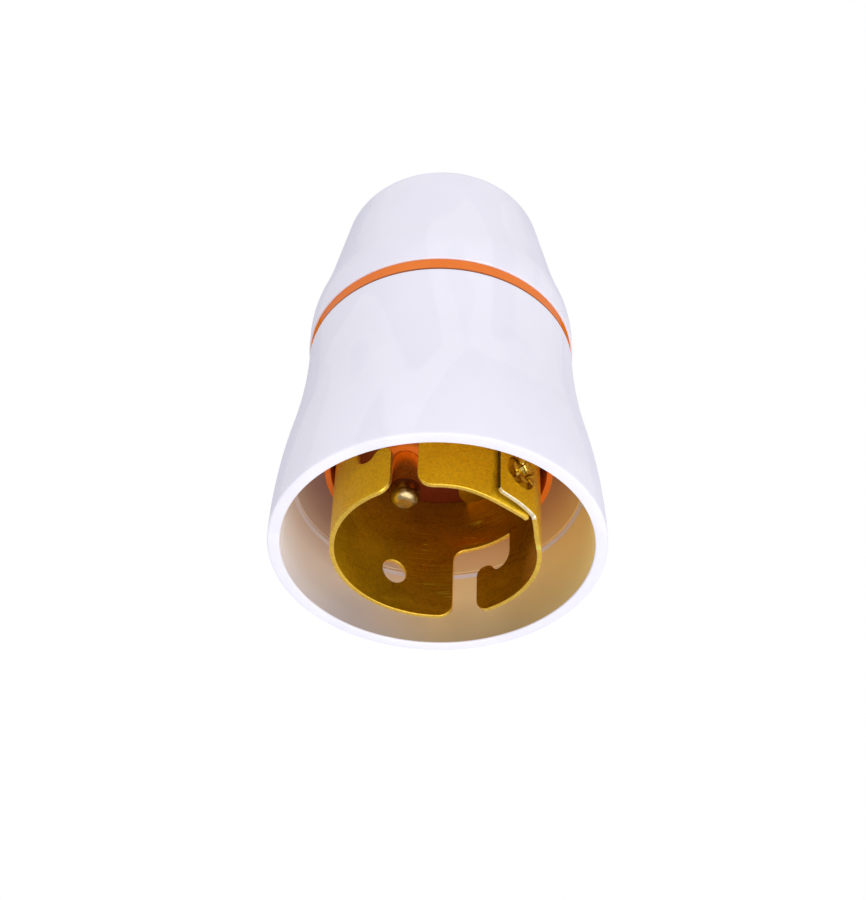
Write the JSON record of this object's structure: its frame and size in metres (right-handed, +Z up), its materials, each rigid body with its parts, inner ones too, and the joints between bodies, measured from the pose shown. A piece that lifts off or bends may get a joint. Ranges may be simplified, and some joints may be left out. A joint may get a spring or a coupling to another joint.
{
  "type": "lamp holder",
  "caption": "Pendant bayonet lamp holder with a bell skirt, an orange insulator ring, a domed cord cap, a rolled brass barrel and two sprung contacts.",
  "frame": {"origin": "centre of the skirt's rim plane, on the holder's axis", "axes": "+Z up the holder's axis from the lamp mouth to the cord entry; +X to the right and +Y away from someone who faces the seam side from below"},
  "size_m": [0.0372, 0.0372, 0.0566],
  "materials": {
    "white_plastic": "glossy moulded",
    "orange_plastic": "semi-gloss moulded",
    "barrel_brass": "rolled sheet, satin",
    "turned_brass": "turned",
    "spring_steel": "bright wire",
    "screw_steel": "plated"
  },
  "bodies": {
    "holder": {"insulator": "orange_plastic", "bayonet_barrel": "barrel_brass", "terminal_a": "turned_brass", "terminal_b": "turned_brass", "ear_rivet_a": "turned_brass", "ear_rivet_b": "turned_brass", "plunger_spring_a": "spring_steel", "plunger_spring_b": "spring_steel"},
    "skirt": {"skirt": "white_plastic"},
    "cord_cap": {"cord_cap": "white_plastic"},
    "plunger_a": {"plunger_a": "turned_brass"},
    "plunger_b": {"plunger_b": "turned_brass"},
    "terminal_screw_a": {"terminal_screw_a": "screw_steel"},
    "terminal_screw_b": {"terminal_screw_b": "screw_steel"}
  },
  "joints": [
    {"name": "skirt_removal", "type": "slide", "parent": "holder", "child": "skirt", "axis": [0, 0, -1], "range_m": [0, 0.03]},
    {"name": "cap_removal", "type": "slide", "parent": "holder", "child": "cord_cap", "axis": [0, 0, 1], "range_m": [0, 0.03]},
    {"name": "plunger_a_press", "type": "slide", "parent": "holder", "child": "plunger_a", "axis": [0, 0, 1], "range_m": [0, 0.0035], "stiffness_N_per_m": 700, "springref_m": -0.004, "deforming": ["plunger_spring_a"]},
    {"name": "plunger_b_press", "type": "slide", "parent": "holder", "child": "plunger_b", "axis": [0, 0, 1], "range_m": [0, 0.0035], "stiffness_N_per_m": 700, "springref_m": -0.004, "deforming": ["plunger_spring_b"]},
    {"name": "terminal_screw_a_turn", "type": "hinge", "parent": "holder", "child": "terminal_screw_a", "pos_m": [-0.00389, 0.00345, 0.0347], "axis": [0, 0, 1], "range_deg": [-360, 360]},
    {"name": "terminal_screw_b_turn", "type": "hinge", "parent": "holder", "child": "terminal_screw_b", "pos_m": [0.00389, -0.00345, 0.0347], "axis": [0, 0, 1], "range_deg": [-360, 360]}
  ]
}
